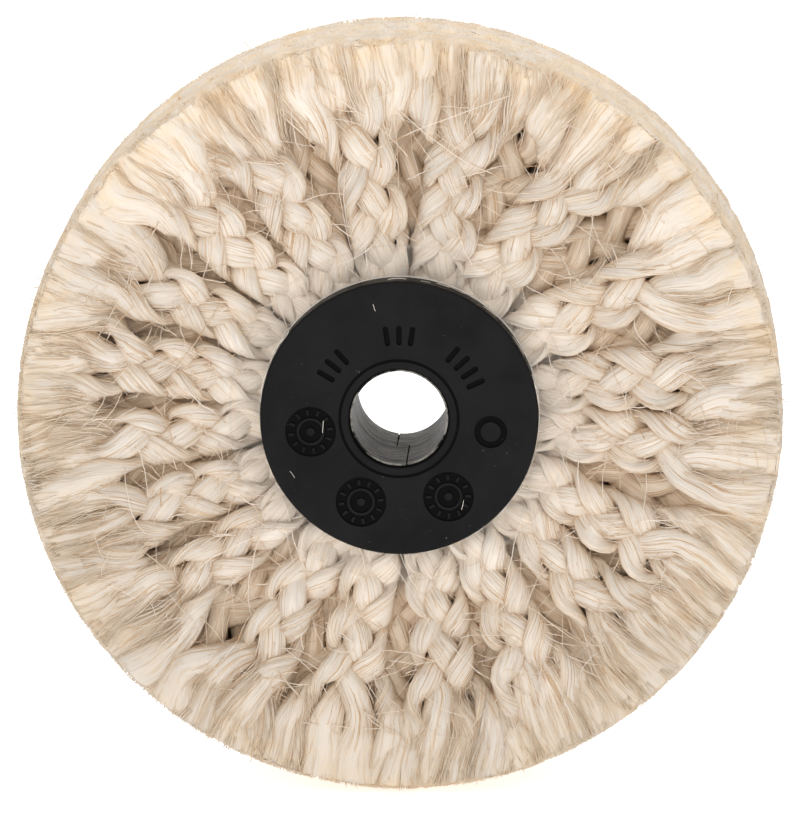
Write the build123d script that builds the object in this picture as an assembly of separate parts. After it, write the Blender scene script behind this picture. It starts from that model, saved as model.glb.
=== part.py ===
"""Braided sisal polishing wheel on a flanged plastic hub.

The origin is the centre of the wheel. +Y runs along the spin axis from the front face to the rear face,
and +Z is up. Lengths are millimetres. Angles are degrees, clockwise from the top as seen from the front.
Profiles are drawn in the XY plane, where x is the radius, and turned about the Y axis.
"""

import os

from build123d import *

# Hub
HUB_LENGTH = 32.0
FLANGE_R = 28.0
FLANGE_THICKNESS = 5.0
FLANGE_EDGE_ROUND = 0.6
SPIGOT_R = 14.0
SPIGOT_GAP = 0.1

# Sleeve that lines the bore
BORE_R = 9.5
SLEEVE_WALL = 1.0
SLEEVE_INSET = 1.0
SEAM_WIDTH = 0.3
SEAM_FRONT_ANGLE = 171.0
SEAM_REAR_ANGLE = 186.0
SEAM_STEP_SHARE = 0.58

# Mouth of the bore in the flange
MOUTH_R = 9.85
MOUTH_ROUND = 0.8
MOUTH_GROOVE_R = 11.9
MOUTH_GROOVE_WIDTH = 0.6
MOUTH_GROOVE_DEPTH = 0.25

# Moulded marks, all sunk below the clamping face
MARK_DEPTH = 0.4
BAR_LENGTH = 4.0
BAR_WIDTH = 1.1
BAR_PITCH_ANGLE = 8.5
BAR_RING_R = 17.0
BAR_GROUPS = ((-51.0, 3), (0.0, 3), (52.0, 4))
DIAL_R = 5.1
DIAL_RIB_WIDTH = 0.5
DIAL_PLACES = ((148.0, 18.8), (204.0, 18.8), (261.0, 18.0))
DIAL_TICKS = 12
DIMPLE_R = 3.3
DIMPLE_RIB_R = 2.0
DIMPLE_PLACE = (98.0, 18.6)

# Clear washers
WASHER_R = 34.6
WASHER_THICKNESS = 0.8
WASHER_CLEARANCE = 0.3

# Core rings
CORE_RING_R = 19.5
CORE_WIRE_R = 1.5

# Sisal braids: one ring of folded braids at the front, and the same ring turned round at the rear
BRAID_ANGLES = (13, 35, 60, 81, 96, 117, 133, 152, 170, 190, 209, 231, 247, 264, 281, 298, 316, 332, 352)
BRAID_ARC = 14.0
FOLD_OVERHANG = 3.0
FOLD_INNER_R = 14.4
FOLD_OUTER_R = 17.6
BRAID_GAP = 0.3
BRUSH_R = 77.0
BRUSH_SHOULDER_R = 75.0
BRUSH_HALF_WIDTH = 15.6
BRUSH_BELLY_R = 52.0
BRUSH_BELLY_HALF_WIDTH = 15.0
RIM_HALF_WIDTH = 13.6

FACE_Y = -HUB_LENGTH / 2
FLANGE_INNER_Y = FACE_Y + FLANGE_THICKNESS
WASHER_INNER_Y = FLANGE_INNER_Y + WASHER_THICKNESS
CLAMP_Y = WASHER_INNER_Y + BRAID_GAP / 2
SLEEVE_R = BORE_R + SLEEVE_WALL
SLEEVE_END_Y = FACE_Y + SLEEVE_INSET
TURNED_ROUND = Rot(0, 0, 180)


def turned(profile, arc=360.0, centre=0.0):
    """Turn a profile about the Y axis through an arc whose middle is at the given clock angle."""
    return Rot(0, centre - 90.0 - arc / 2, 0) * revolve(profile, Axis.Y, revolution_arc=arc)


def band(inner_r, outer_r, low_y, high_y):
    """Rectangular profile between two radii and two stations along the axis."""
    points = [(inner_r, low_y), (outer_r, low_y), (outer_r, high_y), (inner_r, high_y)]
    return make_face(Polyline(*points, close=True))


def on_face(angle, radius):
    """Place on the front face at a clock angle and a radius: x runs outwards, z into the flange."""
    return Rot(0, angle - 90.0, 0) * Pos(radius, FACE_Y, 0) * Rot(-90, 0, 0)


def sunk(sketch, depth=MARK_DEPTH):
    """Tool that sinks a sketch drawn on the face into the flange."""
    return extrude(sketch, amount=depth)


def bar_marks():
    """Groups of plain radial bars along an arc above the bore."""
    bar = sunk(SlotOverall(BAR_LENGTH, BAR_WIDTH))
    bars = []
    for middle, count in BAR_GROUPS:
        for i in range(count):
            angle = middle + (i - (count - 1) / 2) * BAR_PITCH_ANGLE
            bars.append(on_face(angle, BAR_RING_R) * bar)
    return bars


def dial_mark():
    """Round sunk field with a raised ring, raised ticks and a raised centre."""
    ring_r = DIAL_R * 0.55
    ring = Circle(ring_r) - Circle(ring_r - DIAL_RIB_WIDTH)
    field = Circle(DIAL_R) - ring - Circle(DIAL_RIB_WIDTH * 1.6)
    tick_r = (ring_r + DIAL_R) / 2
    for tick in PolarLocations(tick_r, DIAL_TICKS):
        field -= tick * Rectangle(DIAL_R * 0.22, DIAL_RIB_WIDTH)
    return sunk(field)


def dimple_mark():
    """Round sunk ring around a raised round pad."""
    return sunk(Circle(DIMPLE_R) - Circle(DIMPLE_RIB_R))


def flange():
    """Front flange with the tube that reaches halfway through the hub."""
    body = turned(band(SLEEVE_R, FLANGE_R, FACE_Y, FLANGE_INNER_Y))
    body += turned(band(SLEEVE_R, SPIGOT_R, FLANGE_INNER_Y, -SPIGOT_GAP / 2))
    body += turned(band(MOUTH_R, SLEEVE_R, FACE_Y, SLEEVE_END_Y))
    front_rims = body.edges().filter_by(GeomType.CIRCLE).filter_by_position(Axis.Y, FACE_Y, FACE_Y)
    by_radius = front_rims.sort_by(lambda edge: edge.radius)
    body = fillet(by_radius[-1], FLANGE_EDGE_ROUND)
    mouth = body.edges().filter_by(GeomType.CIRCLE).filter_by_position(Axis.Y, FACE_Y, FACE_Y)
    body = fillet(mouth.sort_by(lambda edge: edge.radius)[0], MOUTH_ROUND)
    groove_outer = MOUTH_GROOVE_R + MOUTH_GROOVE_WIDTH / 2
    body -= turned(band(groove_outer - MOUTH_GROOVE_WIDTH, groove_outer, FACE_Y, FACE_Y + MOUTH_GROOVE_DEPTH))
    marks = bar_marks()
    marks += [on_face(angle, radius) * dial_mark() for angle, radius in DIAL_PLACES]
    marks.append(on_face(*DIMPLE_PLACE) * dimple_mark())
    return body - marks


def sleeve():
    """Rolled sleeve whose edges meet in a seam with one step."""
    end_y = -SLEEVE_END_Y
    step_y = SLEEVE_END_Y + SEAM_STEP_SHARE * 2 * end_y
    wall = turned(band(BORE_R, SLEEVE_R, SLEEVE_END_Y, end_y))
    seam_arc = SEAM_WIDTH / BORE_R * 57.3
    cut_r = (BORE_R - 0.5, SLEEVE_R + 0.5)
    half = SEAM_WIDTH / 2
    wall -= turned(band(*cut_r, SLEEVE_END_Y - 1, step_y + half), seam_arc, SEAM_FRONT_ANGLE)
    wall -= turned(band(*cut_r, step_y - half, end_y + 1), seam_arc, SEAM_REAR_ANGLE)
    step_arc = SEAM_REAR_ANGLE - SEAM_FRONT_ANGLE
    step_middle = (SEAM_REAR_ANGLE + SEAM_FRONT_ANGLE) / 2
    wall -= turned(band(*cut_r, step_y - half, step_y + half), step_arc, step_middle)
    return wall


def washer():
    """Clear washer between the front flange and the braids."""
    return turned(band(SPIGOT_R + WASHER_CLEARANCE, WASHER_R, FLANGE_INNER_Y, WASHER_INNER_Y))


def core_ring():
    """Wire ring inside the fold of the front braids."""
    wire = Pos(CORE_RING_R, CLAMP_Y / 2) * Circle(CORE_WIRE_R)
    return revolve(wire, Axis.Y)


def outer_arm_profile():
    """Profile of a braid's arm on the outside of the brush: clamped, swelling, then trimmed square at the rim."""
    wire_clear_y = CLAMP_Y / 2 - CORE_WIRE_R - BRAID_GAP
    layer_y = CLAMP_Y / 2 - BRAID_GAP / 2
    belly_layer_y = -BRUSH_BELLY_HALF_WIDTH / 2 - BRAID_GAP / 2
    start = (FOLD_OUTER_R, CLAMP_Y)
    washer_edge = (WASHER_R, CLAMP_Y)
    belly = (BRUSH_BELLY_R, -BRUSH_BELLY_HALF_WIDTH)
    shoulder = (BRUSH_SHOULDER_R, -BRUSH_HALF_WIDTH)
    rim = (BRUSH_R, -RIM_HALF_WIDTH)
    inner = [rim, (BRUSH_R, belly_layer_y), (BRUSH_BELLY_R, belly_layer_y), (WASHER_R, layer_y)]
    inner += [(CORE_RING_R + 5, layer_y), (CORE_RING_R + 2, wire_clear_y), (FOLD_OUTER_R, wire_clear_y), start]
    outline = [Line(start, washer_edge), Line(washer_edge, belly), Line(belly, shoulder)]
    outline.append(TangentArc(shoulder, rim, tangent=(1, 0)))
    outline.append(Polyline(*inner))
    return make_face(outline)


def inner_arm_profile():
    """Profile of a braid's other arm, between the outer arms and the middle of the wheel."""
    wire_clear_y = CLAMP_Y / 2 + CORE_WIRE_R + BRAID_GAP
    layer_y = CLAMP_Y / 2 + BRAID_GAP / 2
    belly_layer_y = -BRUSH_BELLY_HALF_WIDTH / 2 + BRAID_GAP / 2
    middle_y = -BRAID_GAP / 2
    points = [(FOLD_OUTER_R, wire_clear_y), (CORE_RING_R + 2, wire_clear_y), (CORE_RING_R + 5, layer_y)]
    points += [(WASHER_R, layer_y), (BRUSH_BELLY_R, belly_layer_y), (BRUSH_R, belly_layer_y)]
    points += [(BRUSH_R, middle_y), (FOLD_OUTER_R, middle_y)]
    return make_face(Polyline(*points, close=True))


def braid(index):
    """One braid of the front ring, folded over the core ring, with its two ends side by side."""
    outer_angle = BRAID_ANGLES[index]
    next_angle = BRAID_ANGLES[(index + 1) % len(BRAID_ANGLES)]
    inner_angle = outer_angle + ((next_angle - outer_angle) % 360) / 2
    fold_arc = inner_angle - outer_angle + 2 * FOLD_OVERHANG
    fold = turned(band(FOLD_INNER_R, FOLD_OUTER_R, CLAMP_Y, -BRAID_GAP / 2), fold_arc, (outer_angle + inner_angle) / 2)
    outer_arm = turned(outer_arm_profile(), BRAID_ARC, outer_angle)
    inner_arm = turned(inner_arm_profile(), BRAID_ARC, inner_angle)
    return outer_arm + fold + inner_arm


def main():
    os.makedirs("parts", exist_ok=True)
    nodes = {"bore_sleeve": sleeve()}
    for name, piece in (("flange", flange()), ("washer", washer()), ("core_ring", core_ring())):
        nodes["front_" + name] = piece
        nodes["rear_" + name] = TURNED_ROUND * piece
    for i in range(len(BRAID_ANGLES)):
        piece = braid(i)
        nodes[f"front_braid_{i + 1:02d}"] = piece
        nodes[f"rear_braid_{i + 1:02d}"] = TURNED_ROUND * piece
    for node, piece in nodes.items():
        export_step(piece, f"parts/{node}.step")


main()
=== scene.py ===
"""Looks of the braided sisal polishing wheel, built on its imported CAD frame.

Shapes are worked out in millimetres in the frame's own axes: +Y along the spin axis to the rear, +Z up.
Clock angles are degrees, clockwise from the top as seen from the front.
"""

from math import cos, pi, radians, sin

import bpy
import numpy as np
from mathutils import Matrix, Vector


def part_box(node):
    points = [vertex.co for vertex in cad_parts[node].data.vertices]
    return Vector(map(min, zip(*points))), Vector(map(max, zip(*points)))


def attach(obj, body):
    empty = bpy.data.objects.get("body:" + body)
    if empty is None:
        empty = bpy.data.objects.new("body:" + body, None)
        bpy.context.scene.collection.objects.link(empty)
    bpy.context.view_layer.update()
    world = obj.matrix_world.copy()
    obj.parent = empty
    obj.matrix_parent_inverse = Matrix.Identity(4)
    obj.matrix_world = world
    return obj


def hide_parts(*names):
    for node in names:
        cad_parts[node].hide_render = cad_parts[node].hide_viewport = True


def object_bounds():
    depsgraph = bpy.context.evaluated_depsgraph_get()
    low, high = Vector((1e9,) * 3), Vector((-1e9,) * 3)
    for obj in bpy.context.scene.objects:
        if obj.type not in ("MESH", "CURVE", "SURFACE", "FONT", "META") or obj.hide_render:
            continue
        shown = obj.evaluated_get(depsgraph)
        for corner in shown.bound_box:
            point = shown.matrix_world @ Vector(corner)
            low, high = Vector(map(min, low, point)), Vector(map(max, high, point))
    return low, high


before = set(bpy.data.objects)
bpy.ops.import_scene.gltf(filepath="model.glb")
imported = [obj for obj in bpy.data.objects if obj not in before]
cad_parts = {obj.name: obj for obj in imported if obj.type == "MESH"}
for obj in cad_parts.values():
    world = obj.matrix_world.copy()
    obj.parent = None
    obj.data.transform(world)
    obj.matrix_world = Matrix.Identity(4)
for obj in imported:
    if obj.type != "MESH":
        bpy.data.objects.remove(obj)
CAD_LOW, CAD_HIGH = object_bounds()

MM = 0.001
SEED = 7

# Sizes read from the frame, in millimetres
FLANGE_LOW, FLANGE_HIGH = (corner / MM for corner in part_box("front_flange"))
WASHER_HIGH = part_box("front_washer")[1] / MM
RING_LOW, RING_HIGH = (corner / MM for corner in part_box("front_core_ring"))
FACE_Y = FLANGE_LOW.y
FLANGE_R = FLANGE_HIGH.x
WASHER_R = WASHER_HIGH.x
CLAMP_HALF_WIDTH = -WASHER_HIGH.y
WIRE_Y = (RING_LOW.y + RING_HIGH.y) / 2
FOLD_R = RING_HIGH.x
BRUSH_R = CAD_HIGH.x / MM
BRUSH_INSET = 0.4
BRUSH_HALF_WIDTH = CAD_HIGH.y / MM - BRUSH_INSET

# Braids: the same places as in the CAD model, each with its lean in degrees from the fold to the rim
BRAID_ANGLES = (13, 35, 60, 81, 96, 117, 133, 152, 170, 190, 209, 231, 247, 264, 281, 298, 316, 332, 352)
BRAID_LEANS = (-4, 4, 4, 1, -1, 3, 5, 4, 4, 1, 4, 4, 1, 0, -1, -1, 0, -6, -3)
STRANDS = 4
BRAID_PERIOD = 41.0
FOLD_DEPTH = 4.6
STATION_STEP = 1.0
AROUND = 30
FIBRE_SCALE = 3.2

# Frayed ends and the trimmed rim
FRAY_R = 57.0
FRAY_LENGTH = 10.0
SPREAD_LENGTH = 14.0
RIM_EDGE_ROUND = 0.8
FIBRE_EDGE_ROUND = 0.3
WAIST_START_Y = -6.0
WAIST_SLOPE = 3.0
CUT_SHORTFALL = 0.15
LOCK_HALF_WIDTH = 5.2
OUTER_LOCK_HALF_DEPTH = 4.6
INNER_LOCK_HALF_DEPTH = 8.0

# What changes along the radius, as (radius, value) pairs: half the brush's width, the share of it at which
# the inner arm lies, and a strand's sideways swing, its rise at crossings, its half width and its half depth
BRUSH_PROFILE = (
    (FOLD_R, CLAMP_HALF_WIDTH),
    (WASHER_R, CLAMP_HALF_WIDTH),
    (52, BRUSH_HALF_WIDTH - 0.6),
    (BRUSH_R, BRUSH_HALF_WIDTH),
)
OUTER_ARM_SHARE = 0.75
INNER_ARM_SHARE = ((FOLD_R, 0.25), (34, 0.30), (46, 0.44), (BRUSH_R, 0.40))
SWING = ((15, 1.0), (FOLD_R + 1, 2.2), (30, 3.4), (42, 4.7), (BRUSH_R, 5.1))
RISE = ((15, 0.2), (FOLD_R + 1, 0.6), (30, 0.8), (42, 1.4), (BRUSH_R, 1.5))
STRAND_HALF_WIDTH = ((15, 1.0), (FOLD_R + 1, 1.4), (30, 2.3), (42, 2.5), (BRUSH_R, 2.7))
STRAND_HALF_DEPTH = ((15, 0.9), (FOLD_R + 1, 1.0), (30, 1.05), (42, 1.4), (BRUSH_R, 1.5))

# Loose fibres: how many each strand has on its outer arm and on its inner one, and their radii
TUFT_COUNTS, TUFT_FIBRE_R = (150, 30), (0.06, 0.10)
CUT_END_COUNTS, CUT_END_R = (260, 200), (0.08, 0.15)
LYING_COUNTS, LYING_FIBRE_R = (44, 10), (0.06, 0.11)
STRAY_COUNT, STRAY_FIBRE_R = 14, (0.06, 0.11)
LINT_COUNT, LINT_FIBRE_R = 52, (0.05, 0.09)

# Stage: millimetres below the wheel, and a camera a little above and to the right of the spin axis
FLOOR_GAP = 0.6
CAMERA_AZIMUTH, CAMERA_ELEVATION = 1.97, 11.6
CAMERA_DISTANCE = 1.3
CAMERA_LENS = 286.6

# Sisal colours: the shade and glow pairs are painted shade and painted glow for hollows; the pair for the
# rim's outer face is partly painted light from above, and the pale hub colour is painted light.
CREAM, PALE_CREAM = (0.86, 0.765, 0.66), (0.865, 0.79, 0.715)
WARM_CREAM, HUB_LIT_CREAM = (0.88, 0.70, 0.48), (0.98, 0.92, 0.84)
LINE_BROWN = (0.60, 0.40, 0.23)
CUT_PALE, CUT_TAN = (0.76, 0.69, 0.61), (0.80, 0.67, 0.52)
CROWN_LIT_PALE, CROWN_LIT_STRAW = (0.83, 0.745, 0.65), (0.91, 0.73, 0.52)
SHADE_BROWN, SHADE_STRAW = (0.70, 0.45, 0.24), (0.93, 0.69, 0.44)
PAINTED_GLOW_ORANGE, PAINTED_GLOW_STRAW = (0.88, 0.58, 0.29), (0.94, 0.74, 0.48)


class Batch:
    """Collects vertices, quads and triangles with their fibre attributes for one mesh."""

    def __init__(self):
        self.points = []
        self.faces = []
        self.fibre = []
        self.tone = []
        self.count = 0

    def add(self, points, faces, fibre, tone):
        """Add one shape: (n, 3) points, (m, 4) faces, (n, 3) fibre coordinates and (n, 3) tones."""
        self.points.append(points)
        self.faces.append(faces + self.count)
        self.fibre.append(fibre)
        self.tone.append(tone)
        self.count += len(points)

    def build(self, name, material):
        """Make the Blender object, in metres."""
        points = np.concatenate(self.points) * MM
        faces = np.concatenate(self.faces)
        mesh = bpy.data.meshes.new(name)
        mesh.vertices.add(len(points))
        mesh.vertices.foreach_set("co", points.astype(np.float32).ravel())
        triangle = faces[:, 3] == faces[:, 2]
        sizes = np.where(triangle, 3, 4)
        keep = np.ones(faces.shape, bool)
        keep[:, 3] = ~triangle
        corners = faces[keep]
        mesh.loops.add(len(corners))
        mesh.loops.foreach_set("vertex_index", corners.astype(np.int32))
        mesh.polygons.add(len(faces))
        starts = np.concatenate([[0], np.cumsum(sizes)[:-1]])
        mesh.polygons.foreach_set("loop_start", starts.astype(np.int32))
        mesh.update(calc_edges=True)
        mesh.polygons.foreach_set("use_smooth", np.ones(len(faces), bool))
        for key, values in (("fibre", self.fibre), ("tone", self.tone)):
            attribute = mesh.attributes.new(key, "FLOAT_VECTOR", "POINT")
            attribute.data.foreach_set("vector", np.concatenate(values).astype(np.float32).ravel())
        mesh.materials.append(material)
        obj = bpy.data.objects.new(name, mesh)
        bpy.context.scene.collection.objects.link(obj)
        return obj


def smooth(t):
    """Smooth step from 0 to 1."""
    t = np.clip(t, 0.0, 1.0)
    return t * t * (3 - 2 * t)


def by_radius(r, pairs):
    """Value that changes smoothly with the radius, near the given (radius, value) pairs."""
    radii = [pair[0] for pair in pairs]
    values = [pair[1] for pair in pairs]
    fine = np.linspace(radii[0], radii[-1], 60)
    coarse = np.interp(fine, radii, values)
    padded = np.concatenate([np.full(4, coarse[0]), coarse, np.full(4, coarse[-1])])
    softened = np.convolve(padded, np.ones(9) / 9, "valid")
    return np.interp(r, fine, softened)


def between(values, at, ease=None):
    """Values, or rows of them, at places between their stations, such as 3.5 for halfway from 3 to 4."""
    low = np.clip(at.astype(int), 0, len(values) - 2)
    t = ease(at - low) if ease else at - low
    if values.ndim > 1:
        t = t[..., None]
    return values[low] * (1 - t) + values[low + 1] * t


def wander(values, count):
    """Smooth passage through knots, spread over a number of stations."""
    return between(values, np.linspace(0, len(values) - 1, count), smooth)


def drift(rng, count, knots, size):
    """Random line that wanders smoothly about zero."""
    return wander(rng.normal(0, size, knots), count)


def length_along(path):
    """Distance along a line, or along each of several lines, at each of its points."""
    steps = np.linalg.norm(np.diff(path, axis=-2), axis=-1)
    return np.concatenate([np.zeros((*steps.shape[:-1], 1)), np.cumsum(steps, -1)], -1)


def outward(angle):
    """Unit vector away from the axis at a clock angle in radians."""
    return np.stack([np.sin(angle), np.zeros_like(angle), np.cos(angle)], -1)


def sideways(angle):
    """Unit vector clockwise round the wheel at a clock angle in radians."""
    return np.stack([np.cos(angle), np.zeros_like(angle), -np.sin(angle)], -1)


def rim_radius(y, edge_round=RIM_EDGE_ROUND):
    """Radius that a front braid is trimmed to along the axis: rounded at the face, lower at the middle."""
    past = np.clip((np.abs(y) - BRUSH_HALF_WIDTH) / edge_round + 1, 0.0, 1.0)
    waist = WAIST_SLOPE * smooth((y - WAIST_START_Y) / (BRUSH_HALF_WIDTH - WAIST_START_Y))
    return BRUSH_R - waist - edge_round * (1 - np.sqrt(1 - past**2))


def trimmed(points, shortfall=0.0, edge_round=RIM_EDGE_ROUND):
    """Pull points that stand past the trimmed rim back to it."""
    radius = np.hypot(points[:, 0], points[:, 2])
    limit = rim_radius(points[:, 1], edge_round) - shortfall
    share = np.minimum(1.0, limit / np.maximum(radius, 1e-6))
    return points * np.stack([share, np.ones_like(share), share], -1)


def at_rim(points, shortfall):
    """Move points along the radius to the trimmed rim, less a shortfall."""
    share = (rim_radius(points[:, 1]) - shortfall) / np.hypot(points[:, 0], points[:, 2])
    return points * np.stack([share, np.ones_like(share), share], -1)


def unit(v):
    """Vectors scaled to length one."""
    return v / np.maximum(np.linalg.norm(v, axis=-1, keepdims=True), 1e-9)


def ring_faces(rings, around):
    """Quads of a tube with the given number of rings and points around."""
    i = np.arange(rings - 1)[:, None] * around
    j = np.arange(around)[None, :]
    k = (j + 1) % around
    return np.stack([i + j, i + k, i + k + around, i + j + around], -1).reshape(-1, 4)


def fan(centre, ring, flip):
    """Triangles from a centre to a ring, written as quads whose last two corners are the same."""
    after = np.roll(ring, -1)
    hub = np.full_like(ring, centre)
    first, second = (after, ring) if flip else (ring, after)
    return np.stack([hub, first, second, second], -1)


def corner(value, power):
    """Flatten a sine or cosine so that an ellipse drawn with it turns towards a box."""
    return np.sign(value) * np.abs(value) ** power


def tube(batch, made, ridges, tone):
    """Closed, ridged tube with a flattened section and cut ends that follow the rim."""
    path, width, depth = made["path"], made["width"], made["depth"]
    rings = len(path)
    turn = np.linspace(0, 2 * pi, AROUND, endpoint=False)
    power = (0.85 - 0.1 * made["fray"])[:, None]
    across = corner(np.cos(turn), power) * (width[:, None] + ridges)
    high = corner(np.sin(turn), power) * (depth[:, None] + ridges)
    points = path[:, None] + made["side"][:, None] * across[..., None] + made["up"][:, None] * high[..., None]
    fibre = np.empty((rings, AROUND, 3))
    fibre[..., 0] = np.cos(turn) * FIBRE_SCALE + made["seed"][0]
    fibre[..., 1] = np.sin(turn) * FIBRE_SCALE * 0.6 + made["seed"][1]
    fibre[..., 2] = length_along(path)[:, None]
    rise = ((points - made["base"][:, None]) * made["normal"][:, None]).sum(2)
    tones = np.empty((rings, AROUND, 3))
    tones[..., :2] = tone
    # Third tone: the painted shade a point gets from how low it lies in the braid.
    tones[..., 2] = painted_shade_by_depth(rise, np.abs(np.cos(turn))[None], made)
    points = trimmed(points.reshape(-1, 3), made["ragged"]).reshape(rings, AROUND, 3)
    sheets = []
    for sheet in (points, fibre, tones):
        ends = []
        for ring in (sheet[0], sheet[-1]):
            middle = ring.mean(0)
            ends.append(np.concatenate([middle + (ring - middle) * 0.9, middle[None]]))
        front, back = ends
        if sheet is points:
            front, back = at_rim(front, CUT_SHORTFALL), at_rim(back, CUT_SHORTFALL)
        # The cut ends get a little painted shade.
        if sheet is tones:
            front[:, 2], back[:, 2] = 0.1, 0.1
        sheets.append(np.concatenate([front[:-1], sheet.reshape(-1, 3), back, front[-1:]]))
    last = (rings + 2) * AROUND
    faces = [ring_faces(rings + 2, AROUND)[:, ::-1]]
    faces.append(fan(last + 1, np.arange(AROUND), False))
    faces.append(fan(last, last - AROUND + np.arange(AROUND), True))
    batch.add(sheets[0], np.concatenate(faces), sheets[1], sheets[2])


def painted_shade_by_depth(rise, edge, made):
    """How much painted shade a point gets from where it lies: 0 on top of the braid, 1 down between its
    strands or inside the brush, with painted dark lines along the edges of strands and between locks.
    """
    level = rise / made["half"][:, None]
    outline = smooth((edge - 0.72) / 0.28)
    inner, fray = made["inner"][:, None], made["fray"][:, None]
    outer = np.maximum(smooth((0.5 - level) / 1.0), 0.6 * outline)
    sunk = 0.65 + 0.35 * smooth((0.75 - np.abs(level)) / 1.0)
    tuft = np.clip(0.5 * smooth((1.0 - rise) / 5.0) + 0.6 * outline + 0.3 * inner, 0, 1)
    tuft = tuft * (1 - 0.8 * smooth((made["r"][:, None] - 64) / 12))
    return (outer * (1 - inner) + sunk * inner) * (1 - fray) + tuft * fray


def hairs(batch, rng, paths, radius, tones):
    """Many thin closed three-sided fibres at once: (k, m, 3) paths and (k, m) radii."""
    count, stations = radius.shape
    along = unit(np.gradient(paths, axis=1))
    side = unit(np.cross(along, rng.normal(size=(count, 1, 3))))
    up = np.cross(along, side)
    turn = np.arange(3) * 2 * pi / 3
    spread = np.cos(turn)[:, None] * side[:, :, None] + np.sin(turn)[:, None] * up[:, :, None]
    points = paths[:, :, None] + spread * radius[:, :, None, None]
    one = ring_faces(stations, 3)
    last = (stations - 1) * 3
    caps = np.array([[2, 1, 0, 0], [last, last + 1, last + 2, last + 2]])
    one = np.concatenate([one, caps])
    faces = one[None] + (np.arange(count) * stations * 3)[:, None, None]
    fibre = np.zeros(points.shape)
    fibre[..., :2] = rng.uniform(0, 400, (count, 1, 1, 2))
    fibre[..., 2] = length_along(paths)[:, :, None]
    tone = np.broadcast_to(tones[:, None, None, :], points.shape)
    batch.add(points.reshape(-1, 3), faces.reshape(-1, 4), fibre.reshape(-1, 3), tone.reshape(-1, 3))


def course(rng, outer_angle, inner_angle, lean):
    """Centre line of a folded braid: from the rim along its outer arm, round the core ring and back."""
    arm_r = np.arange(BRUSH_R, FOLD_R, -STATION_STEP)
    turn = np.linspace(0, pi, 9)[1:-1]
    half_gap = by_radius(FOLD_R, BRUSH_PROFILE) / 4
    fold_y = WIRE_Y - half_gap * np.cos(turn)
    r = np.concatenate([arm_r, FOLD_R - FOLD_DEPTH * np.sin(turn), arm_r[::-1]])
    width = by_radius(arm_r, BRUSH_PROFILE)
    inner_share = by_radius(arm_r[::-1], INNER_ARM_SHARE)
    y = np.concatenate([-OUTER_ARM_SHARE * width, fold_y, -inner_share * width[::-1]])
    blend = smooth((FOLD_R + 6 - r) / 8)
    n = len(arm_r)
    share = np.concatenate([np.zeros(n), np.linspace(0, 1, len(turn)), np.ones(n)])
    angle = outer_angle + (inner_angle - outer_angle) * share
    arms = {"outer": slice(0, n), "inner": slice(n + len(turn), None)}
    for part in arms.values():
        out = (r[part] - FOLD_R) / (BRUSH_R - FOLD_R)
        bend = drift(rng, n, 6, 0.9)
        angle[part] += lean * (out - 0.5) + np.degrees(bend * out / r[part])
        y[part] += drift(rng, n, 6, 0.5) * (1 - blend[part])
    normal_turn = np.concatenate([np.zeros(n), turn, np.full(n, pi)])
    angle = np.radians(angle)
    normal = -np.sin(normal_turn)[:, None] * outward(angle)
    normal[:, 1] = -np.cos(normal_turn)
    centre = outward(angle) * r[:, None]
    centre[:, 1] = y
    return {"r": r, "s": length_along(centre), "angle": angle, "centre": centre, "normal": normal, **arms}


def crossing(wave):
    """Sideways swing of a strand in a flat braid: straighter than a sine between its turns."""
    return (np.sin(wave) - np.sin(3 * wave) / 9) * 0.9


def unbraided(line, rng, phase, period, slots):
    """Where a strand is in its weave, how frayed it is, and how far aside it goes to its lock at the rim."""
    r = line["r"]
    wave = 2 * pi * line["s"] / period + phase
    fray = np.zeros(len(r))
    aside = np.zeros(len(r))
    for part, direction, slot in ((line["outer"], 1, slots[0]), (line["inner"], -1, slots[1])):
        start = FRAY_R + rng.normal(0, 1.6)
        past = np.maximum(r[part] - start, 0)
        held = 4 * (1 - np.exp(-past / 4))
        wave[part] += direction * 2 * pi / period * (past - held)
        fray[part] = smooth(past / FRAY_LENGTH)
        aside[part] = (slot + rng.normal(0, 0.4)) * smooth((r[part] - start + 3) / SPREAD_LENGTH)
    return wave, fray, aside


def section(r, inner, over, fray, crowd):
    """Swing, rise, half width and half depth of a strand, pressed by its neighbours and opened to a lock."""
    share = np.where(inner > 0, crowd[1], crowd[0])
    pressed = 1 + (share - 1) * smooth((44 - r) / 10) * smooth((r - FOLD_R) / 4)
    swing = by_radius(r, SWING) * pressed
    rise = by_radius(r, RISE)
    width = by_radius(r, STRAND_HALF_WIDTH) * pressed
    depth = by_radius(r, STRAND_HALF_DEPTH)
    lock_depth = OUTER_LOCK_HALF_DEPTH + (INNER_LOCK_HALF_DEPTH - OUTER_LOCK_HALF_DEPTH) * inner
    opened = smooth((r - FRAY_R + 2) / (BRUSH_R - FRAY_R))
    width = width * (1 + 0.14 * over * (1 - fray)) * (1 - opened) + LOCK_HALF_WIDTH * opened
    depth = depth * (1 - opened) + lock_depth * opened
    return swing, rise, width, depth


def rolled(line, wave, fray, lateral):
    """Direction of a strand's flat side, which turns over where the strand turns back at the braid's edge."""
    roll = 0.5 * pi * (1 - np.clip(1.3 * np.cos(wave), -1, 1))
    for part, end in ((line["outer"], 0), (line["inner"], -1)):
        flat = np.round(roll[end] / pi) * pi
        roll[part] = roll[part] * (1 - fray[part]) + flat * fray[part]
    return line["normal"] * np.cos(roll)[:, None] + lateral * np.sin(roll)[:, None]


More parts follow.
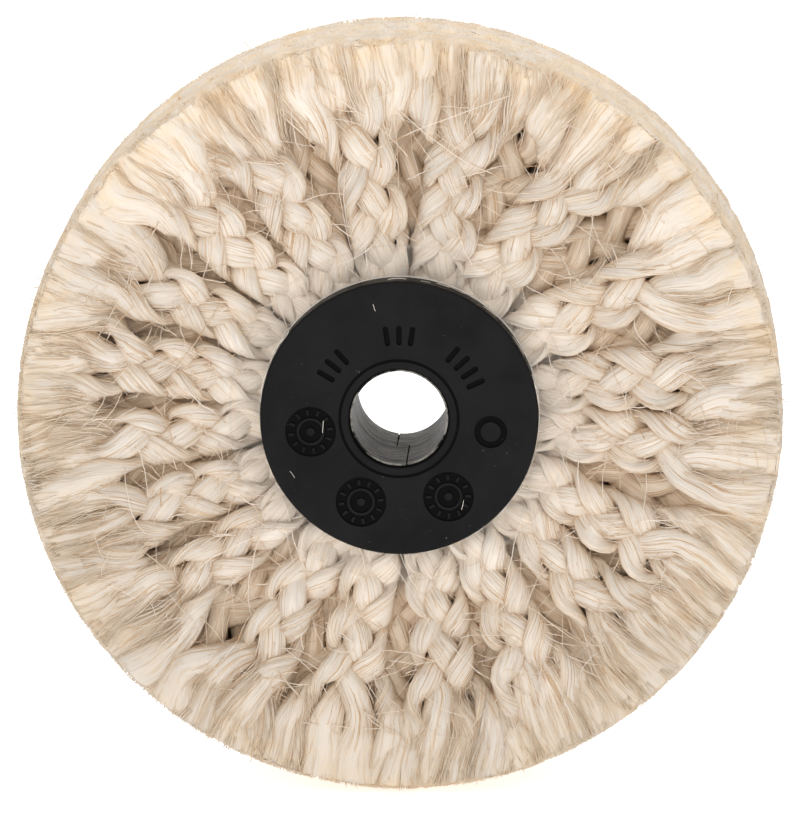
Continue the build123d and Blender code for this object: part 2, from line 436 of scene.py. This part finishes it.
def strand(line, rng, phase, period, slots, crowd):
    """One strand of a braid: its path, section and turn at each station of the braid's centre line."""
    r, centre = line["r"], line["centre"]
    count = len(r)
    inner = np.zeros(count)
    inner[line["inner"]] = 1
    wave, fray, aside = unbraided(line, rng, phase, period, slots)
    over = np.cos((STRANDS - 1) * wave)
    swing, rise, width, depth = section(r, inner, over, fray, crowd)
    half = rise + depth
    width = width * (1 + drift(rng, count, 20, 0.07))
    depth = depth * (1 + drift(rng, count, 20, 0.07))
    lateral = sideways(line["angle"])
    x = swing * crossing(wave) * (1 - fray) + aside + drift(rng, count, 24, 0.28)
    z = rise * over * (1 - fray) + fray * rng.normal(0, 0.5) + drift(rng, count, 24, 0.2)
    path = centre + lateral * x[:, None] + line["normal"] * z[:, None]
    along = unit(np.gradient(path, axis=0))
    up = rolled(line, wave, fray, lateral)
    up = unit(up - along * (up * along).sum(1, keepdims=True))
    return {
        "path": path, "side": np.cross(along, up), "up": up, "width": width, "depth": depth, "fray": fray,
        "inner": inner, "base": centre, "normal": line["normal"], "seed": rng.uniform(0, 300, 2), "r": r,
        "half": half, "ragged": np.tile(CUT_SHORTFALL + rng.exponential(0.15, AROUND), count),
    }


def add_strand(batch, rng, made, tone):
    """Skin of one strand, ridged like a bundle of fibres."""
    n = len(made["path"])
    knots = n // 12
    fine = rng.normal(0, 0.09, (knots, AROUND))
    broad = rng.normal(0, 0.16, (knots, AROUND))
    for shift in (1, 1, 2):
        broad = (broad + np.roll(broad, shift, 1) + np.roll(broad, -shift, 1)) / 2
    fray = made["fray"][:, None]
    ridges = wander(fine, n) * (1 + fray) + wander(broad * 0.5, n) * (1 + 3 * fray)
    tube(batch, made, ridges, tone)


def section_at(made, at):
    """Path, directions and half sizes of a strand at places between its stations."""
    return (between(made[key], at) for key in ("path", "side", "up", "width", "depth"))


def tuft(batch, rng, made, part, count, tone):
    """Straight fibres of one frayed strand end, standing out to the trimmed rim."""
    r = made["r"][part]
    order = np.argsort(r)
    stations = 5
    root = rng.uniform(FRAY_R - 6, FRAY_R + 8, (count, 1))
    tip = BRUSH_R - rng.exponential(2.0, (count, 1)) * (rng.uniform(0, 1, (count, 1)) < 0.5)
    at_r = root + (tip - root) * np.linspace(0, 1, stations)
    at = np.interp(at_r, r[order], order) + (part.start or 0)
    path, side, up, width, depth = section_at(made, at)
    turn = rng.uniform(0, 2 * pi, (count, 1))
    reach = rng.uniform(0.90, 1.08, (count, 1)) - 0.25 * (1 - np.linspace(0, 1, stations)) ** 3
    grow = np.linspace(0, 1, stations) ** 2
    across = reach * corner(np.cos(turn), 0.75) * width + rng.normal(0, 1.2, (count, 1)) * grow
    high = reach * corner(np.sin(turn), 0.75) * depth + rng.normal(0.1, 0.3, (count, 1)) * grow
    paths = path + side * across[..., None] + up * high[..., None]
    paths += rng.normal(0, 0.05, paths.shape)
    paths = trimmed(paths.reshape(-1, 3), 0.05, FIBRE_EDGE_ROUND).reshape(paths.shape)
    radius = rng.uniform(*TUFT_FIBRE_R, (count, 1)) * np.ones((1, stations))
    # Painted shade: half the fibres at random, and those of the inner arm, take a little.
    painted_shade_amount = 0.1 * (rng.uniform(0, 1, count) < 0.5) + 0.15 * made["inner"][part][0]
    tones = [tone[0] + rng.normal(0.15, 0.16, count), tone[1] + rng.normal(0, 0.12, count), painted_shade_amount]
    hairs(batch, rng, paths, radius, np.clip(np.stack(tones, -1), 0, 1))


def cut_ends(batch, rng, made, part, count, tone):
    """Cut fibre ends that cover the end of a lock at the rim, leaning over its edges."""
    end = 0 if part.stop else -1
    turn = rng.uniform(0, 2 * pi, count)
    reach = rng.uniform(0.25, 1.0, count) ** 0.6
    lean = rng.normal(0, 0.35, (2, count))
    steps = []
    root = 2.6
    for height, grow in ((root, 0.9), (1.2, 1.0), (0.0, 1.06)):
        leaning = lean * (1 - height / root)
        across = corner(np.cos(turn), 0.65) * reach * grow * made["width"][end] + leaning[0]
        high = corner(np.sin(turn), 0.65) * reach * grow * made["depth"][end] + leaning[1]
        place = made["path"][end] + made["side"][end] * across[:, None] + made["up"][end] * high[:, None]
        uneven = rng.exponential(0.12, count) if height == 0 else 0.0
        steps.append(at_rim(place, height + uneven))
    radius = rng.uniform(*CUT_END_R, (count, 1)) * np.array([[1.0, 1.0, 0.7]])
    tones = [tone[0] + rng.normal(0.25, 0.25, count), tone[1] + rng.normal(0.1, 0.3, count), np.zeros(count)]
    hairs(batch, rng, np.stack(steps, 1), radius, np.clip(np.stack(tones, -1), 0, 1))


def lying(batch, rng, made, part, count):
    """Fibres that lie on a strand and lift off it at their ends."""
    first, last = part.indices(len(made["r"]))[:2]
    stations = 7
    start = rng.integers(first, last - 20, count)
    length = rng.integers(8, 20, count)
    at = start[:, None] + np.linspace(0, 1, stations) * length[:, None]
    path, side, up, width, depth = section_at(made, at)
    from_middle = np.linspace(-1, 1, stations)
    turn = rng.uniform(0, 2 * pi, count)[:, None] + rng.normal(0, 0.2, (count, 1)) * from_middle
    lift = np.abs(rng.normal(0, 0.3, (count, 1))) * from_middle**2 * rng.choice([0.0, 0.3, 2.0], (count, 1))
    lift += 0.03
    paths = path + side * (np.cos(turn) * (width + lift))[..., None]
    paths = paths + up * (np.sin(turn) * (depth + lift))[..., None]
    radius = rng.uniform(*LYING_FIBRE_R, (count, 1)) * np.ones((1, stations))
    # Painted shade: three in ten of the fibres, at random, take a little.
    painted_shade_amount = 0.2 * (rng.uniform(0, 1, count) < 0.3)
    tones = np.stack([rng.uniform(0.4, 1.0, count), rng.uniform(0.0, 0.6, count), painted_shade_amount], -1)
    hairs(batch, rng, paths, radius, tones)


def strays(batch, rng, made, line, part, count):
    """Stray fibres that leave a strand and bend away over their neighbours."""
    first, last = part.indices(len(line["r"]))[:2]
    stations = 10
    root = rng.integers(first, last, count)
    t = np.linspace(0, 1, stations)[None, :, None]
    start = made["path"][root] + line["normal"][root] * made["depth"][root][:, None] * 0.8
    along = outward(line["angle"][root])
    across = sideways(line["angle"][root])
    aim = rng.normal(0, 0.8, (count, 1))
    heading = unit(along * rng.choice([-0.6, 1.0, 1.0], (count, 1)) + across * aim)
    curl = np.cross(heading, line["normal"][root]) * rng.normal(0, 6.0, (count, 1))
    length = 3 + rng.gamma(2.0, 3.5, (count, 1))
    lift = rng.uniform(0.2, 1.6, (count, 1))
    rise = line["normal"][root][:, None] * (lift[:, None] * np.sin(pi * t * 0.8))
    paths = start[:, None] + (heading * length)[:, None] * t + curl[:, None] * t**2 + rise
    wiggle = np.cumsum(rng.normal(0, 0.22, paths.shape), axis=1)
    paths += wiggle * t
    radius = rng.uniform(*STRAY_FIBRE_R, (count, 1)) * np.ones((1, stations))
    tones = np.stack([rng.uniform(0.6, 1.0, count), rng.uniform(0.0, 0.5, count), np.zeros(count)], -1)
    paths = trimmed(paths.reshape(-1, 3)).reshape(paths.shape)
    hairs(batch, rng, paths, radius, tones)


def braid(side, index, rng, arm_angles, rooms, material):
    """A folded braid with its frayed ends, standing for one CAD braid. The rear braids are turned round."""
    name = f"{side}_sisal_braid_{index + 1:02d}"
    node = f"{side}_braid_{index + 1:02d}"
    line = course(rng, *arm_angles, BRAID_LEANS[index])
    outer, inner = line["outer"], line["inner"]
    batch = Batch()
    period = BRAID_PERIOD * rng.uniform(0.92, 1.08)
    start = rng.uniform(0, 2 * pi)
    braid_tone = np.array([0.5, 0.4]) + rng.normal(0, [0.12, 0.16])
    phases = [start + k * 2 * pi / STRANDS for k in range(STRANDS)]
    places = [slot_order(line, period, phases, part) for part in (outer, inner)]
    middle = (STRANDS - 1) / 2
    even = 2 * pi * BRUSH_R / len(BRAID_ANGLES)
    crowd = [1.12 * room / even for room in rooms]
    for k in range(STRANDS):
        slots = [(place[k] - middle) * room / STRANDS for place, room in zip(places, rooms)]
        made = strand(line, rng, phases[k], period, slots, crowd)
        tone = np.clip(braid_tone + rng.normal(0, [0.08, 0.08]), 0, 1)
        add_strand(batch, rng, made, tone)
        for draw, counts in ((tuft, TUFT_COUNTS), (cut_ends, CUT_END_COUNTS)):
            draw(batch, rng, made, outer, counts[0], tone)
            draw(batch, rng, made, inner, counts[1], tone)
        lying(batch, rng, made, outer, LYING_COUNTS[0])
        lying(batch, rng, made, inner, LYING_COUNTS[1])
        strays(batch, rng, made, line, slice(6, outer.stop - 14), STRAY_COUNT)
    if side == "rear":
        batch.points = [points * np.array([-1, -1, 1]) for points in batch.points]
    obj = batch.build(name, material)
    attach(obj, "root")
    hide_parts(node)


def slot_order(line, period, phases, part):
    """Order from side to side in which the strands fray at the end of an arm."""
    at = line["s"][part][np.argmin(np.abs(line["r"][part] - FRAY_R - 2))]
    x = [crossing(2 * pi * at / period + phase) for phase in phases]
    return np.argsort(np.argsort(x))


def braids(material):
    """Both rings of folded braids. The rear ring is made like the front one and turned round."""
    rng = np.random.default_rng(SEED)
    angles = np.array(BRAID_ANGLES, float)
    gap = (np.roll(angles, -1) - angles) % 360
    inner = angles + gap / 2
    degree_at_rim = radians(1) * BRUSH_R
    outer_room = (gap + np.roll(gap, 1)) / 2 * degree_at_rim
    inner_room = (gap + np.roll(gap, -1)) / 2 * degree_at_rim
    for side in ("front", "rear"):
        for i in range(len(BRAID_ANGLES)):
            braid(side, i, rng, (angles[i], inner[i]), (outer_room[i], inner_room[i]), material)


def lint(material):
    """Short loose fibres caught on the front flange and round its edge."""
    rng = np.random.default_rng(SEED + 1)
    stations = 6
    one_each = (LINT_COUNT, 1)
    edge = rng.uniform(0, 1, one_each) < 0.9
    t = np.linspace(-0.5, 0.5, stations)[None]
    length = rng.uniform(0.6, 2.6, one_each) * np.where(edge, rng.uniform(1.0, 3.5, one_each), 1.0)
    at_edge = FLANGE_R + rng.uniform(-0.2, 0.5, one_each)
    radius = np.where(edge, at_edge, rng.uniform(13.0, 26.5, one_each))
    angle = np.where(edge, rng.uniform(0, 2 * pi, one_each), radians(250) + rng.normal(0, 1.2, one_each))
    skew = np.where(edge, rng.normal(0, 0.06, one_each), rng.normal(0, 1.0, one_each))
    bow = rng.normal(0, 0.25, one_each) * (0.25 - t**2) * length
    r = radius + np.sin(skew) * t * length + bow
    r = np.where(edge, np.maximum(r, FLANGE_R + 0.05), r)
    turn = angle + np.cos(skew) * t * length / radius
    paths = outward(turn) * r[..., None]
    paths[..., 1] = np.where(edge, FACE_Y + rng.uniform(0.3, 4.5, one_each), FACE_Y - 0.07)
    thick = rng.uniform(*LINT_FIBRE_R, one_each) * np.ones((1, stations))
    light, warm = rng.uniform(0.5, 1.0, LINT_COUNT), rng.uniform(0, 0.5, LINT_COUNT)
    tones = np.stack([light, warm, np.zeros(LINT_COUNT)], -1)
    batch = Batch()
    hairs(batch, rng, paths, thick, tones)
    obj = batch.build("front_lint", material)
    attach(obj, "root")


class Nodes:
    """Short way to wire up a procedural material."""

    def __init__(self, name, **values):
        self.material = bpy.data.materials.new(name)
        self.material.use_nodes = True
        self.tree = self.material.node_tree
        self.shader = self.tree.nodes["Principled BSDF"]
        for key, value in values.items():
            self.shader.inputs[key.replace("_", " ")].default_value = value

    def node(self, kind, inputs=None, **settings):
        """Add a node with its inputs, as sockets or values, and its settings."""
        made = self.tree.nodes.new("ShaderNode" + kind)
        for key, value in settings.items():
            setattr(made, key, value)
        for key, value in (inputs or {}).items():
            self.feed(made.inputs[key], value)
        return made

    def feed(self, socket, value):
        """Link a socket to an output, or give it a value."""
        if isinstance(value, bpy.types.NodeSocket):
            self.tree.links.new(value, socket)
        else:
            socket.default_value = value

    def set(self, key, value):
        """Feed an input of the shader."""
        self.feed(self.shader.inputs[key], value)

    def attribute(self, name):
        """Vector stored on the mesh."""
        return self.node("Attribute", attribute_name=name).outputs["Vector"]

    def place(self):
        """Place on the object, in metres."""
        return self.node("TexCoord").outputs["Object"]

    def part_of(self, vector, axis):
        """One component of a vector."""
        return self.node("SeparateXYZ", {0: vector}).outputs[axis]

    def radius(self, place):
        """Distance from the spin axis."""
        flat = self.scaled(place, 1.0, 0.0, 1.0)
        return self.node("VectorMath", {0: flat}, operation="LENGTH").outputs["Value"]

    def scaled(self, vector, *scale):
        """Vector times a scale along each axis."""
        return self.node("VectorMath", {0: vector, 1: scale}, operation="MULTIPLY").outputs[0]

    def noise(self, vector, scale=1.0, detail=2.0, roughness=0.5):
        """Noise from 0 to 1."""
        inputs = {"Vector": vector, "Scale": scale, "Detail": detail, "Roughness": roughness}
        return self.node("TexNoise", inputs).outputs["Fac"]

    def ramp(self, factor, *stops):
        """Colour that runs through the given (place, colour) stops."""
        made = self.node("ValToRGB", {"Fac": factor})
        elements = made.color_ramp.elements
        while len(elements) < len(stops):
            elements.new(0.5)
        for element, (place, colour) in zip(elements, stops):
            element.position = place
            element.color = (*colour, 1.0)
        return made.outputs["Color"]

    def math(self, operation, a, b=0.0, c=0.0):
        """One sum on numbers."""
        return self.node("Math", {0: a, 1: b, 2: c}, operation=operation).outputs[0]

    def times(self, a, b):
        """Product of two numbers."""
        return self.math("MULTIPLY", a, b)

    def spread(self, value, low, high, new_low=0.0, new_high=1.0):
        """Move a range of values onto another range, held at its ends."""
        inputs = {"Value": value, "From Min": low, "From Max": high, "To Min": new_low, "To Max": new_high}
        return self.node("MapRange", inputs).outputs[0]

    def zone(self, distance, start, end, new_low=0.0, new_high=1.0):
        """Spread from one distance to another, given in millimetres."""
        return self.spread(distance, start * MM, end * MM, new_low, new_high)

    def mix(self, factor, a, b, blend="MIX"):
        """Mix two colours, given as outputs or as plain red, green and blue."""
        made = self.node("Mix", data_type="RGBA", blend_type=blend)
        self.feed(made.inputs["Factor"], factor)
        for slot, colour in ((6, a), (7, b)):
            self.feed(made.inputs[slot], (*colour, 1.0) if isinstance(colour, tuple) else colour)
        return made.outputs[2]

    def bump(self, height, distance, strength=1.0):
        """Normal bent by a height, over a distance in millimetres."""
        inputs = {"Height": height, "Distance": distance * MM, "Strength": strength}
        return self.node("Bump", inputs).outputs[0]


def fibre_colour(m, fibre, fine, warm):
    """Thin brown lines along cream fibres, warmer in patches."""
    lines = m.ramp(fine, (0.37, LINE_BROWN), (0.45, CREAM), (0.54, PALE_CREAM))
    broad = m.noise(m.scaled(fibre, 0.9, 0.9, 0.05), detail=2.0)
    warmth = m.times(m.spread(broad, 0.42, 0.7), m.spread(warm, 0.1, 1.1))
    return m.mix(m.times(warmth, 0.6), lines, WARM_CREAM)


def cut_colour(m, colour, place, radius, height):
    """Turn to the mottled colour of cut ends towards the rim, and on the rim's outer face to a paler straw
    colour, a little all round and as painted light towards the top; beside the hub, painted light makes the
    braids pale.
    """
    patch = m.noise(place, scale=160.0, detail=6.0, roughness=0.75)
    pile = m.ramp(patch, (0.40, CUT_PALE), (0.60, CUT_TAN))
    colour = m.mix(m.zone(radius, 62, 75.5, 0.0, 0.8), colour, pile)
    # The rim's outer face: a little paler all round, and painted light that grows towards the top of the
    # wheel.
    painted_crown_light = m.times(m.zone(radius, 70, 76.5), m.zone(height, -20, 60, 0.15, 0.9))
    colour = m.mix(painted_crown_light, colour, m.ramp(patch, (0.42, CROWN_LIT_PALE), (0.60, CROWN_LIT_STRAW)))
    # Painted light: the braids beside the hub are paler, against the flange's shade.
    return m.mix(m.zone(radius, 40, 33, 0.0, 0.4), colour, HUB_LIT_CREAM)


def shaded_colour(m, colour, fine, painted_shade_amount, radius):
    """Painted shade and painted glow: a warm brown, turning to a light orange glow near the rim, mixed in
    where the ambient occlusion finds hollows and where the fibres lie low in the brush.
    """
    shade = m.ramp(fine, (0.38, SHADE_BROWN), (0.54, SHADE_STRAW))
    glow = m.ramp(fine, (0.38, PAINTED_GLOW_ORANGE), (0.54, PAINTED_GLOW_STRAW))
    shade = m.mix(m.zone(radius, 60, 72), shade, glow)
    open_sky = m.node("AmbientOcclusion", {"Distance": 8 * MM}, samples=1).outputs["AO"]
    outside_hub = m.zone(radius, 33, 40, 0.2, 0.68)
    before_rim = m.zone(radius, 66, 76, 1.0, 0.8)
    # Painted shade: the more occluded or sunk a point, the more of the shade colour it takes.
    painted_shade_mix = m.math("MAXIMUM", m.times(painted_shade_amount, 0.8), m.math("SUBTRACT", 1.0, open_sky))
    painted_shade_mix = m.times(m.math("POWER", painted_shade_mix, 1.4), m.times(outside_hub, before_rim))
    return m.mix(painted_shade_mix, colour, shade)


def brightness(m, light, radius, height):
    """Grey level of a strand: each has its own, and painted shade makes the lower and outer brush a little
    darker.
    """
    # Painted shade: darker low down and towards the rim, as if less lit from above.
    low = m.times(m.zone(radius, 36, 60), m.zone(height, 65, 25))
    level = m.spread(low, 0.0, 1.0, 1.0, 0.885)
    own = m.spread(light, 0.0, 1.0, -0.10, 0.10)
    gain = m.math("MULTIPLY_ADD", own, m.zone(radius, 70, 76.2, 1.0, 0.3), level)
    return m.node("CombineXYZ", {"X": gain, "Y": gain, "Z": gain}).outputs[0]


def sisal_material():
    """Cream plant fibre: fine lines along the strand, warmer in patches, speckled where it is cut; painted
    shade in its hollows and low down, and painted light on the top of the rim and beside the hub.
    """
    m = Nodes("sisal", Roughness=0.55, Specular_IOR_Level=0.2)
    light, warm, painted_shade_amount = m.node("SeparateXYZ", {0: m.attribute("tone")}).outputs
    fibre = m.attribute("fibre")
    place = m.place()
    radius = m.radius(place)
    height = m.part_of(place, "Z")
    fine = m.noise(m.scaled(fibre, 3.6, 3.6, 0.06), detail=3.0, roughness=0.75)
    colour = fibre_colour(m, fibre, fine, warm)
    colour = cut_colour(m, colour, place, radius, height)
    colour = shaded_colour(m, colour, fine, painted_shade_amount, radius)
    m.set("Base Color", m.mix(1.0, colour, brightness(m, light, radius, height), "MULTIPLY"))
    m.set("Normal", m.bump(fine, 0.4))
    return m.material


def plastic_material():
    """Black moulded plastic: satin, finely grained, with a little dust; painted shade makes the sunk marks
    and the rounded mouth of the bore darker, and they are less glossy.
    """
    m = Nodes("black_plastic")
    place = m.place()
    below = m.math("SUBTRACT", -FACE_Y * MM, m.math("ABSOLUTE", m.part_of(place, "Y")))
    on_face = m.zone(m.radius(place), 26.2, 25.8)
    mark = m.times(m.zone(below, 0.04, 0.2), on_face)
    grain = m.noise(place, scale=2600.0, detail=3.0, roughness=0.7)
    smear = m.noise(place, scale=90.0, detail=4.0, roughness=0.6)
    dust = m.spread(m.noise(place, scale=1100.0, detail=2.0), 0.76, 0.80)
    base = m.ramp(smear, (0.3, (0.002, 0.002, 0.0025)), (0.7, (0.006, 0.006, 0.007)))
    # Painted shade: darker in the sunk marks and the mouth of the bore.
    base = m.mix(mark, base, (0.001, 0.001, 0.001))
    m.set("Base Color", m.mix(m.times(dust, 0.3), base, (0.25, 0.23, 0.2)))
    sheen = m.spread(mark, 0.0, 1.0, 0.13, 0.06)
    m.set("Specular IOR Level", m.times(sheen, m.spread(smear, 0.3, 0.7, 0.9, 1.1)))
    m.set("Roughness", m.spread(smear, 0.3, 0.7, 0.36, 0.55))
    m.set("Normal", m.bump(grain, 0.04, 0.6))
    return m.material


def steel_material():
    """Rolled sleeve: grey metal, brushed round the bore, with dark scuffs."""
    m = Nodes("sleeve_steel", Metallic=0.1, Specular_IOR_Level=0.1)
    place = m.place()
    brushed = m.noise(m.scaled(place, 240.0, 1500.0, 240.0), detail=4.0, roughness=0.7)
    scuff = m.noise(m.scaled(place, 60.0, 420.0, 60.0), detail=4.0, roughness=0.75)
    base = m.ramp(brushed, (0.42, (0.015, 0.014, 0.012)), (0.57, (0.32, 0.30, 0.27)))
    m.set("Base Color", m.mix(m.spread(scuff, 0.52, 0.57), base, (0.012, 0.011, 0.010)))
    m.set("Roughness", m.spread(brushed, 0.2, 0.8, 0.35, 0.6))
    m.set("Normal", m.bump(brushed, 0.05, 0.8))
    return m.material


def wire_material():
    """Drawn steel wire of the core rings."""
    m = Nodes("wire_steel", Metallic=1.0)
    drawn = m.noise(m.place(), scale=900.0, detail=3.0)
    m.set("Base Color", m.ramp(drawn, (0.3, (0.35, 0.34, 0.33)), (0.7, (0.55, 0.54, 0.52))))
    m.set("Roughness", m.spread(drawn, 0.3, 0.7, 0.3, 0.5))
    return m.material


def clear_material():
    """Thin clear plastic sheet: nearly invisible, milky at its cut edge."""
    m = Nodes("clear_plastic", Specular_IOR_Level=0.5)
    place = m.place()
    radius = m.radius(place)
    edge = m.zone(radius, WASHER_R - 0.9, WASHER_R - 0.2)
    haze = m.noise(place, scale=260.0, detail=3.0)
    m.set("Base Color", m.mix(edge, (0.95, 0.89, 0.81), (0.74, 0.68, 0.60)))
    m.set("Roughness", m.spread(haze, 0.3, 0.7, 0.12, 0.3))
    beside_flange = m.zone(radius, FLANGE_R + 0.35, FLANGE_R + 0.15)
    film = m.spread(haze, 0.3, 0.7, 0.01, 0.04)
    seen = m.math("ADD", m.times(edge, 0.07), m.times(beside_flange, 0.4))
    m.set("Alpha", m.math("ADD", film, seen))
    return m.material


def paint(node, material):
    """Give a CAD node its material."""
    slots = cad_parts[node].data.materials
    slots.clear()
    slots.append(material)


def stage():
    """Pale floor just below the wheel, soft white surroundings and soft lamps."""
    bpy.ops.mesh.primitive_plane_add(size=40, location=(0, 0, CAD_LOW.z - FLOOR_GAP * MM))
    floor = bpy.context.object
    floor.name = "floor"
    white = (0.9, 0.9, 0.9, 1.0)
    m = Nodes("floor", Roughness=0.9, Base_Color=white, Emission_Color=white, Emission_Strength=0.6)
    floor.data.materials.append(m.material)
    world = bpy.data.worlds.new("surroundings")
    world.use_nodes = True
    background = world.node_tree.nodes["Background"]
    background.inputs["Color"].default_value = (1.0, 0.985, 0.965, 1.0)
    background.inputs["Strength"].default_value = 0.77
    bpy.context.scene.world = world
    lamp("front", (-0.1, -1.2, 0.55), 0.8, 3.0)
    lamp("top", (0.1, 0.15, 1.2), 0.7, 4.2)


def lamp(name, place, size, power):
    """Square soft lamp that faces the wheel."""
    data = bpy.data.lights.new(name, "AREA")
    data.size = size
    data.energy = power
    obj = bpy.data.objects.new(name, data)
    obj.location = place
    obj.rotation_euler = (-Vector(place)).to_track_quat("-Z", "Y").to_euler()
    bpy.context.scene.collection.objects.link(obj)


def camera():
    """Long lens a little above and to the right of the spin axis."""
    data = bpy.data.cameras.new("camera")
    data.sensor_width = 36.0
    data.lens = CAMERA_LENS
    data.clip_end = 50.0
    obj = bpy.data.objects.new("camera", data)
    azimuth, elevation = radians(CAMERA_AZIMUTH), radians(CAMERA_ELEVATION)
    back = Vector((sin(azimuth) * cos(elevation), -cos(azimuth) * cos(elevation), sin(elevation)))
    target = Vector((0.0002, FACE_Y * MM, 0.0024))
    obj.location = target + back * CAMERA_DISTANCE
    obj.rotation_euler = (-back).to_track_quat("-Z", "Y").to_euler()
    bpy.context.scene.collection.objects.link(obj)
    bpy.context.scene.camera = obj


sisal = sisal_material()
braids(sisal)
lint(sisal)
plastic = plastic_material()
wire = wire_material()
clear = clear_material()
for side in ("front", "rear"):
    paint(side + "_flange", plastic)
    paint(side + "_core_ring", wire)
    paint(side + "_washer", clear)
paint("bore_sleeve", steel_material())
stage()
camera()
bpy.context.scene.view_settings.view_transform = "Standard"
